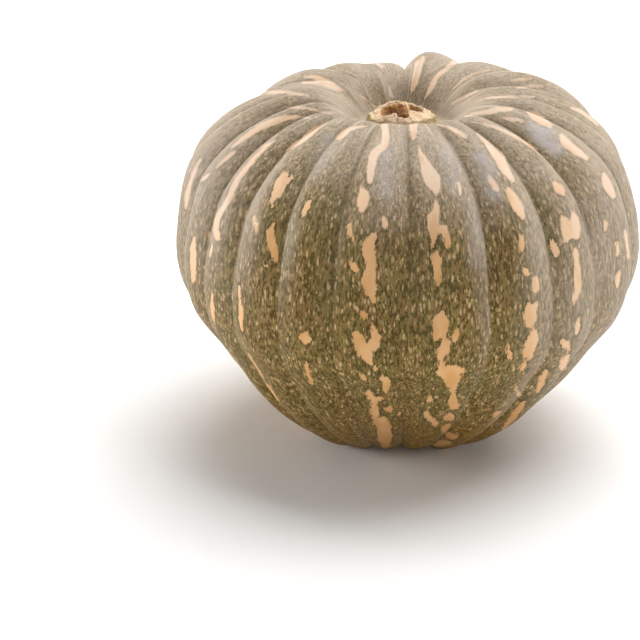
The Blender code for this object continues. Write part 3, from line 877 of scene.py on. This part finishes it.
def flecked_skin(tree, read):
    """Olive skin under four layers, each paler than the last: streaks, specks, flecks, a few blots.

    Returns its colour, the flecks' mask, and one mask for flecks and streaks.
    """
    low = read["low"]
    broad = noise(tree, read["flow"], scale=0.05, detail=2.0)
    skin = blend(tree, rise(tree, broad, 0.35, 0.65), SKIN_WARM, SKIN_COOL)
    skin = blend(tree, rise(tree, read["middling"], 0.48, 0.70, 0.0, 0.6), skin, SKIN_GREEN)
    # Warmer and browner towards the foot: painted warm bounce light and shade
    skin = blend(tree, times(tree, low, 0.7), skin, SKIN_BOUNCE_SHADE)

    streaks = noise(tree, read["shaped"], scale=0.92, detail=3.0, roughness=0.55)
    streak = rise(tree, streaks, 0.43, 0.55)
    streak = times(tree, streak, rise(tree, read["marble"], 0.3, 0.6, 0.6, 1.0))
    tone = rise(tree, noise(tree, read["shaped"], scale=0.30, detail=2.0), 0.40, 0.60)
    streak_colour = blend(tree, tone, STREAK_OLIVE, STREAK_TAN)
    # Streaks warmer towards the foot: painted warm bounce light and shade
    streak_colour = blend(tree, low, streak_colour, STREAK_BOUNCE_SHADE)
    skin = blend(tree, streak, skin, streak_colour)

    wandering = shaken(tree, read["flow"], 0.5, 1.2)
    speck, draw = grains(tree, wandering, scale=1.40, rarity=0.30, small=0.15, large=0.48)
    speck = times(tree, speck, rise(tree, read["wax_and_sheen"], 0.0, 0.4, 0.75, 0.5))
    skin = blend(tree, speck, skin, blend(tree, draw, SPECK_DULL, SPECK_PALE))

    fleck, draw = grains(tree, read["shaped"], scale=0.88, rarity=0.25, small=0.12, large=0.54)
    fleck = times(tree, fleck, rise(tree, streaks, 0.36, 0.54, 0.2, 1.0))
    fleck = times(tree, fleck, rise(tree, read["near_stem"], 0.0, 0.8, 1.0, 0.3))
    fleck_colour = blend(tree, draw, FLECK_DULL, FLECK_PALE)
    # Flecks darker and warmer towards the foot: painted warm bounce light and shade
    fleck_colour = blend(tree, times(tree, low, 0.5), fleck_colour, FLECK_BOUNCE_SHADE)
    skin = blend(tree, fleck, skin, fleck_colour)

    longer = stretched(tree, read["shaped"], 1.0, 1.0, 1.15)
    blot, draw = grains(tree, longer, scale=0.52, rarity=0.82, small=0.05, large=0.36)
    skin = blend(tree, times(tree, blot, 0.85), skin, blend(tree, draw, BLOT_DULL, BLOT_PALE))
    # Warm wash towards the foot: painted warm bounce light and shade
    skin = blend(tree, times(tree, low, 0.25), skin, FOOT_BOUNCE_SHADE)
    return skin, fleck, maths(tree, "MAXIMUM", fleck, times(tree, streak, 0.6))


def hazed_skin(tree, read, skin, fine):
    """Grey haze in wisps, thicker over the flecks, partly waxy bloom and partly painted sheen and side
    light; rays round the stem; a painted bluish highlight; painted shade in the grooves.
    """
    # The veil is partly waxy bloom and partly painted sheen of the light above; the sides add painted
    # light
    veil = noise(tree, read["flow"], scale=0.09, detail=3.0)
    veil = times(tree, read["wax_and_sheen"], rise(tree, veil, 0.25, 0.75, 0.85, 1.45))
    veil = times(tree, veil, rise(tree, fine, 0.0, 1.0, 0.74, 1.22))
    drawn_out = stretched(tree, read["shaped"], 1.0, 1.0, 0.5)
    wisps = noise(tree, drawn_out, scale=0.55, detail=2.0)
    veil = times(tree, veil, rise(tree, wisps, 0.38, 0.62, 0.80, 1.16))
    veil = plus(tree, veil, times(tree, read["near_stem"], 0.10))
    veil = plus(tree, veil, times(tree, read["painted_side_light"], 0.35))
    skin = blend(tree, maths(tree, "MINIMUM", veil, 0.76), skin, WAX_SHEEN_GREY)

    pale_ray = times(tree, rise(tree, read["lines"], 0.54, 0.70, 0.0, 0.55), read["near_stem"])
    dark_ray = times(tree, rise(tree, read["lines"], 0.46, 0.32, 0.0, 0.35), read["near_stem"])
    skin = blend(tree, pale_ray, skin, RAY_PALE)
    skin = blend(tree, dark_ray, skin, RAY_DARK)

    # Painted bluish highlight on the lobes' shoulders
    highlight_share = times(tree, read["painted_highlight"], rise(tree, read["middling"], 0.3, 0.6, 0.5, 1.0))
    highlight_share = times(tree, highlight_share, rise(tree, fine, 0.0, 1.0, 1.0, 0.6))
    skin = blend(tree, highlight_share, skin, HIGHLIGHT_BLUE)
    # Painted shade, darker the deeper into a groove
    return blend(tree, times(tree, rise(tree, read["groove"], 0.55, 1.0), 0.30), skin, GROOVE_SHADE)


def patched_skin(tree, read, skin):
    """Peach patches with ragged edges in a dark border, smoother and softer under the haze.

    Returns the colour and the patches' mask.
    """
    crisp = rise(tree, read["wax_and_sheen"], 0.1, 0.5, 1.0, 0.35)
    ragged = swing(tree, noise(tree, read["flow"], scale=1.1, detail=2.0), 2.8)
    lumpy = swing(tree, noise(tree, read["flow"], scale=0.32, detail=1.0), 2.4)
    frayed = swing(tree, noise(tree, read["shaped"], scale=2.6, detail=1.0), 2.2)
    uneven = times(tree, plus(tree, plus(tree, ragged, lumpy), frayed), crisp)
    edge = plus(tree, plus(tree, read["patch_edge"], uneven), times(tree, read["near_stem"], 0.2))
    softness = rise(tree, read["wax_and_sheen"], 0.1, 0.5, 0.42, 0.75)
    patch = rise(tree, maths(tree, "DIVIDE", edge, softness), 1.0, -1.0)
    worn_and_lit = times(tree, read["near_stem"], rise(tree, read["lines"], 0.42, 0.6, 0.20, 0.0))
    patch = times(tree, patch, minus(tree, 1.0, worn_and_lit))

    border = rise(tree, read["middling"], 0.42, 0.6, 0.05, 0.75)
    border = times(tree, rise(tree, edge, 1.5, 0.3), border)
    skin = blend(tree, times(tree, border, crisp), skin, PATCH_BORDER)
    peach = blend(tree, rise(tree, read["middling"], 0.35, 0.65), PEACH_DEEP, PEACH_PALE)
    # Patches paler and duller under the waxy bloom, the painted sheen and the painted side light
    peach = blend(tree, rise(tree, read["wax_and_sheen"], 0.0, 0.32), peach, PEACH_HAZY)
    peach = blend(tree, rise(tree, read["wax_and_sheen"], 0.32, 0.50), peach, PEACH_DULL)
    peach = blend(tree, rise(tree, read["marble"], 0.52, 0.70, 0.0, 0.35), peach, PEACH_RUSTY)
    # Patches darker and warmer towards the foot: painted warm bounce light and shade
    peach = blend(tree, times(tree, read["low"], 0.6), peach, PEACH_BOUNCE_SHADE)
    return blend(tree, patch, skin, peach), patch


def rind_material(grain):
    """Olive rind with pale flecks that run down it, haze that is partly waxy bloom and partly painted
    light and shade, peach patches, and pores in its relief.
    """
    material, tree, shader = new_material("mottled rind")
    read = rind_patterns(tree)
    skin, fleck, fine = flecked_skin(tree, read)
    skin = hazed_skin(tree, read, skin, fine)
    skin, patch = patched_skin(tree, read, skin)
    skin = blend(tree, read["scar"], skin, SCAR_BROWN)
    tree.links.new(skin, shader.inputs["Base Color"])

    roughness = plus(tree, rise(tree, fleck, 0.0, 1.0, 0.42, 0.50), times(tree, read["wax_and_sheen"], 0.10))
    roughness = minus(tree, roughness, times(tree, patch, 0.06))
    tree.links.new(roughness, shader.inputs["Roughness"])
    shader.inputs["Specular IOR Level"].default_value = 0.1

    pores = place_grain(tree, grain, read["flow"], 1.6)
    height = plus(tree, times(tree, fleck, 0.5), pores["Grain"])
    height = minus(tree, height, times(tree, patch, 0.5))
    bump = add(tree, "Bump", {"Height": height, "Strength": 0.35, "Distance": 0.3 * MM})
    tree.links.new(bump.outputs[0], shader.inputs["Normal"])
    return material


def cork_material(grain):
    """Dry cork: tan fibres, crumbs, brown pits with crumbly edges and painted shade deep inside, painted
    light on the side wall, and greenish toes.
    """
    material, tree, shader = new_material("dry cork")
    place = add(tree, "TexCoord").outputs["Object"]
    pit = attribute(tree, "pit")
    toe = attribute(tree, "toe")
    side = attribute(tree, "side")
    fibres = attribute(tree, "fibre_flow", "Vector")
    crumbs = place_grain(tree, grain, place, 900.0)
    base = blend(tree, crumbs["Mottle"], CORK_TAN, CORK_PALE)
    fibre = rise(tree, noise(tree, fibres, scale=1.0, detail=3.0, roughness=0.6), 0.4, 0.62)
    base = blend(tree, times(tree, fibre, 0.5), base, FIBRE_BROWN)
    crumb = rise(tree, crumbs["Grain"], 0.52, 0.66)
    base = blend(tree, times(tree, crumb, 0.35), base, CRUMB_BROWN)
    rough_pit = plus(tree, pit, swing(tree, crumbs["Grain"], 0.9))
    base = blend(tree, rise(tree, rough_pit, 0.10, 0.40), base, PIT_RUST)
    # Darker deeper in each pit: partly the pit's own brown, partly painted shade
    base = blend(tree, rise(tree, rough_pit, 0.45, 0.9), base, PIT_DARK)
    # Painted light: the side wall, which the lamps above light less, made paler
    worn_and_lit = times(tree, side, rise(tree, crumbs["Mottle"], 0.2, 0.8, 0.8, 0.2))
    base = blend(tree, worn_and_lit, base, CORK_SIDE_LIGHT)
    green = times(tree, toe, rise(tree, crumbs["Mottle"], 0.0, 1.0, 0.55, 0.95))
    base = blend(tree, green, base, TOE_GREEN)
    tree.links.new(base, shader.inputs["Base Color"])
    tree.links.new(rise(tree, crumbs["Grain"], 0.3, 0.7, 0.72, 0.92), shader.inputs["Roughness"])
    height = plus(tree, crumbs["Grain"], times(tree, fibre, -0.5))
    bump = add(tree, "Bump", {"Height": height, "Strength": 0.7, "Distance": 0.5 * MM})
    tree.links.new(bump.outputs[0], shader.inputs["Normal"])
    return material


def soft_excess(value):
    """Close to the value where that is well above 0, and to 0 where it is well below.

    Half the sum of the value and the root of its square plus the softness squared.
    """
    return 0.5 * (value + np.hypot(value, FLOW_SOFTNESS))


def rind_flow(bearing, along, radius):
    """The space of the flecks, in mm: a cylinder, drawn in where the fruit narrows.

    Its radius goes with the square root of the fruit's. Its height is a share of the way
    down the profile, which is smaller above the high place and below the low one.
    """
    reach = FLOW_RADIUS * np.sqrt(np.clip(radius / RADIUS, 0.0, 1.0))
    down = FLOW_DOWN * along + FLOW_DOWN_HIGH * soft_excess(HIGH_PLACE - along)
    down = down - FLOW_DOWN_LOW * soft_excess(along - LOW_PLACE)
    return round_axis(reach, bearing, down)


def rind_haze(bearing, normals, height):
    """Grey haze of the rind, and the part of it that the two sides add.

    The top's haze, partly waxy bloom and partly painted sheen of the light above, grows with
    how far the rind faces up. A side's part is painted light from that side: it grows with how far the
    fruit's own round faces that way, plus a stronger share of the flank's tilt beyond
    that, and thins out downward. The front left carries painted shade, which thins both there.
    """
    wax_and_sheen = TOP_HAZE * smooth_step(normals[..., 2], *TOP_HAZE_SLOPES) ** TOP_HAZE_POWER
    level = np.sin(bearing) * np.sqrt(np.clip(1.0 - normals[..., 2] ** 2, 0.0, 1.0))
    far_left = smooth_step(-np.sin(bearing), *FAR_LEFT_SIDES) * smooth_step(height, *FAR_LEFT_HEIGHTS)
    painted_side_light = np.zeros_like(level)
    # Painted light on the sides that face the right and left lamps
    for side, strength, facings, heights, below, far_gain in PAINTED_SIDE_LIGHTS:
        tilt = side * (normals[..., 0] - level)
        facing = side * SIDE_FROM_FRUIT * level + SIDE_FROM_FLANK * np.maximum(tilt, 0.0)
        facing = facing - SIDE_LOST_AWAY * np.maximum(-tilt, 0.0) + far_gain * far_left
        share = below + (1.0 - below) * smooth_step(height, *heights)
        painted_side_light = painted_side_light + strength * smooth_step(facing, *facings) * share

    # Painted shade on the front left, where less light falls
    front_left_shade = smooth_step(-normals[..., 1], *SHADE_FRONTS) * smooth_step(-level, *SHADE_SIDES)
    front_left_shade = front_left_shade * (1.0 - smooth_step(-level, *SHADE_SIDE_ENDS)) * (1.0 - FAR_LEFT_KEEPS * far_left)
    wax_and_sheen = wax_and_sheen * (1.0 - SHADE_ON_TOP_HAZE * front_left_shade)
    from_sides = painted_side_light * (1.0 - SHADE_ON_SIDE_LIGHT * front_left_shade)
    return np.maximum(wax_and_sheen, from_sides + HAZE_OVERLAP * wax_and_sheen), painted_side_light


def make_rind(material):
    """The fruit's fine surface, with swells of its own, and the marks that its material reads.

    The swells press the rind in along its normals. Where the camera doesn't face the rind, the
    painted bluish highlight is a bell across each lobe times a bell round one slope, at a random strength.
    """
    turns, along = profile_turns(RIND_ROWS)
    spans = SPANS_PER_LOBE * len(LOBES)
    turn, share = np.meshgrid(turns, np.arange(spans) / spans, indexing="ij")
    rings, azimuth, across, hollow = rind_surface(share, turn)
    radius, _ = envelope(turn)
    along = np.repeat(along[:, None], spans, axis=1)

    normals = ring_normals(rings)
    lifted = smooth_step(rings[..., 2], *SWELL_HEIGHTS) * smooth_step(radius, *SWELL_RADII)
    for wavelength, depth, seed in SWELLS:
        uneven = bumpy(rings, wavelength, seed)
        rings = rings - normals * (depth * uneven * lifted)[..., None]

    bearing = np.radians(azimuth)
    height = rings[..., 2]
    seen = photo_facing(rings, normals)
    edge = patch_field(rings, azimuth, along, radius, seen)
    wax_and_sheen, painted_side_light = rind_haze(bearing, normals, height)
    # Painted highlight on the lobes' shoulders, at a random strength for each lobe
    strengths = np.random.default_rng(HIGHLIGHT_SEED).uniform(*HIGHLIGHT_STRENGTHS, len(LOBES))
    lobe = np.floor(share * len(LOBES)).astype(int)
    off_crown = (across - 0.5) / HIGHLIGHT_CROWN_SPREAD
    off_slope = (normals[..., 2] - HIGHLIGHT_SLOPE) / HIGHLIGHT_SLOPE_SPREAD
    painted_highlight = np.exp(-(off_crown**2) - off_slope**2)
    marks = {
        "flow": rind_flow(bearing, along, radius),
        "rays": round_axis(FLOW_RADIUS, bearing, RAY_DOWN * along),
        "patch_edge": np.clip(edge, -FAR, FAR),
        "wax_and_sheen": wax_and_sheen,
        "groove": hollow,
        "painted_side_light": painted_side_light,
        "near_stem": (1.0 - smooth_step(radius, *RAY_RADII)) * (turn > 0.0),
        # How near the foot, where painted warm bounce light and shade lie
        "low": 1.0 - smooth_step(height, *FOOT_HEIGHTS),
        "painted_highlight": highlight_field(rings, seen, painted_highlight * strengths[lobe]),
        "scar": (1.0 - smooth_step(radius, *SCAR_RADII)) * (turn < 0.0),
    }
    base = {"patch_edge": FAR, "wax_and_sheen": 0.0, "groove": 0.0, "painted_side_light": 0.0, "painted_highlight": 0.0, "low": 1.0}
    top = {"patch_edge": FAR, "wax_and_sheen": 0.5, "groove": 0.0, "painted_side_light": 0.0, "painted_highlight": 0.0}
    piece = closed_surface("rind", rings, material)
    give_attributes(piece, marks, base, top)
    return piece


def stem_surface(longitude, latitude):
    """The stub: a squared ball, rounder above, with a flared foot, bell-shaped toes and a cut top.

    Cosine and sine of the latitude, each to a power below 1, give the ball. The top is
    waved along a sine, falls as the square of x, and sinks by the pits, which are
    exponentials of the fourth powers of x and y. Under the foot the stub is flat.
    Returns the points, and how far each lies in a pit, on a toe and on the top, from 0 to 1.
    """
    level = 0.5 + 0.5 * np.sin(latitude)
    azimuth = np.degrees(longitude)
    narrowing = smooth_step(level, *STEM_FLARE_LEVELS)
    radius = STEM_FOOT_RADIUS + (STEM_NECK_RADIUS - STEM_FOOT_RADIUS) * narrowing
    toe = np.zeros_like(radius)
    for toe_azimuth, half_width, reach in STEM_TOES:
        aside = (azimuth - toe_azimuth + 180.0) % 360.0 - 180.0
        bell = np.exp(-((aside / half_width) ** 2))
        radius = radius + reach * bell * (1.0 - 0.5 * level)
        toe = np.maximum(toe, bell * min(reach / STEM_FULL_REACH, 1.0))

    squareness = np.where(latitude > 0.0, STEM_TOP_SQUARENESS, STEM_SQUARENESS)
    fullness = np.clip(np.cos(latitude), 0.0, 1.0) ** squareness
    x = radius * fullness * np.sin(longitude)
    y = -radius * fullness * np.cos(longitude)
    side = np.sign(latitude) * np.abs(np.sin(latitude)) ** squareness
    height = 0.5 * STEM_HEIGHT * (1.0 + side)
    top = smooth_step(level, *STEM_TOP_LEVELS)
    waves = STEM_WAVE * np.sin(2.0 * math.pi * x / STEM_WAVE_LENGTH)
    height = height - top * (waves + STEM_CROWN * (x / STEM_NECK_RADIUS) ** 2)
    pit = np.zeros_like(height)
    for pit_x, pit_y, half_x, half_y, depth in STEM_PITS:
        near = np.exp(-(((x - pit_x) / half_x) ** 4) - ((y - pit_y) / half_y) ** 4)
        height = height - top * depth * near
        pit = np.maximum(pit, near * top)
    height = np.where(latitude < STEM_FOOT_LATITUDE, 0.0, height)
    return np.stack([x, y, height], axis=-1), pit, toe, top


def make_stem(material):
    """The stem's fine surface: the stub with crumbly relief on its top and ribs down its side.

    The relief lies inward along the normals. The ribs are a sine of the longitude, whose
    spacing sways three times a round.
    """
    latitudes = np.linspace(-0.5 * math.pi, 0.5 * math.pi, STEM_ROWS + 2)
    longitudes = 2.0 * math.pi * np.arange(STEM_SPANS) / STEM_SPANS
    latitude, longitude = np.meshgrid(latitudes, longitudes, indexing="ij")
    rings, pit, toe, top = stem_surface(longitude, latitude)
    normals = ring_normals(rings)
    free = smooth_step(latitude, STEM_FOOT_LATITUDE, STEM_FOOT_LATITUDE + STEM_FREE_SPAN)
    crumbs = bumpy(rings, *CRUMBS)
    on_top = CRUMB_DEPTHS[0] * crumbs + CRUMB_DEPTHS[1] * bumpy(rings, *FINE_CRUMBS)
    ribs = 0.5 + 0.5 * np.sin(STEM_RIBS * longitude + 2.0 * np.sin(3.0 * longitude))
    on_side = STEM_RIB_DEPTH * ribs + SIDE_CRUMB_DEPTH * crumbs
    inward = top * on_top + (1.0 - top) * on_side
    rings = rings - normals * (inward * free)[..., None]
    seat = np.array([AXIS_OFFSET[0], AXIS_OFFSET[1], SEAT_HEIGHT + STEM_GAP])
    rings = rings + seat

    outward = np.hypot(rings[..., 0] - seat[0], rings[..., 1] - seat[1]) / MM
    marks = {
        "fibre_flow": round_axis(FIBRE_ROUND, longitude, FIBRE_OUTWARD * outward),
        "pit": pit,
        "toe": toe * smooth_step(outward, *TOE_TIP_MM),
        "side": (1.0 - top) * smooth_step(latitude, STEM_FOOT_LATITUDE, 0.0),
    }
    piece = closed_surface("stem_stub", rings, material)
    give_attributes(piece, marks, {"pit": 0.0, "toe": 0.0, "side": 0.0}, {"toe": 0.0, "side": 0.0})
    return piece


def make_floor(grain):
    """White paper floor that bends up into a back wall along a quarter circle."""
    material, tree, shader = new_material("white paper")
    paper = place_grain(tree, grain, add(tree, "TexCoord").outputs["Object"], 40.0)
    tree.links.new(blend(tree, paper["Mottle"], PAPER_GREY, PAPER_WHITE), shader.inputs["Base Color"])
    shader.inputs["Roughness"].default_value = 0.9
    bend = np.linspace(0.0, 0.5 * math.pi, FLOOR_BEND_ROWS)
    run = np.concatenate([FLOOR_FRONT, FLOOR_BACK + FLOOR_BEND * np.sin(bend), [FLOOR_BACK + FLOOR_BEND]])
    lift = np.concatenate([[0.0, 0.0], FLOOR_BEND - FLOOR_BEND * np.cos(bend), [WALL_TOP]])
    across = np.array([-FLOOR_HALF_WIDTH, FLOOR_HALF_WIDTH])
    points = np.stack(np.broadcast_arrays(across[None, :], run[:, None], lift[:, None]), axis=-1)
    rows = np.arange(len(run) - 1)
    faces = np.column_stack([2 * rows, 2 * rows + 1, 2 * rows + 3, 2 * rows + 2])
    floor = put_mesh("studio_floor", points.reshape(-1, 3), faces.tolist(), material)


def make_lights_and_camera():
    """Soft lights that face their targets, faint light from all sides, and the photograph's camera."""
    for name, place, target, size, power in SOFT_LIGHTS:
        lamp = bpy.data.lights.new(name, "AREA")
        lamp.shape = "RECTANGLE"
        lamp.size, lamp.size_y = size
        lamp.energy = power
        aim = np.array(target) - np.array(place)
        level = math.hypot(aim[0], aim[1])
        put(name, lamp, place, (math.atan2(level, -aim[2]), 0.0, math.atan2(-aim[0], aim[1])))

    world = bpy.data.worlds.new("studio air")
    world.use_nodes = True
    world.node_tree.nodes["Background"].inputs[0].default_value = (1.0, 1.0, 1.0, 1.0)
    world.node_tree.nodes["Background"].inputs[1].default_value = AIR_STRENGTH
    bpy.context.scene.world = world

    camera = bpy.data.cameras.new("photo camera")
    camera.lens = LENS
    camera.sensor_width = SENSOR
    camera.clip_end = 50.0
    turned = (0.5 * math.pi - CAMERA_DROP, 0.0, 0.0)
    bpy.context.scene.camera = put("photo_camera", camera, CAMERA_PLACE, turned)


bpy.context.scene.view_settings.view_transform = "Standard"

grain = grain_group()
rind = make_rind(rind_material(grain))
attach(rind, "root")
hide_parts("fruit")
stem = make_stem(cork_material(grain))
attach(stem, "root")
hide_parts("stem")
make_floor(grain)
make_lights_and_camera()
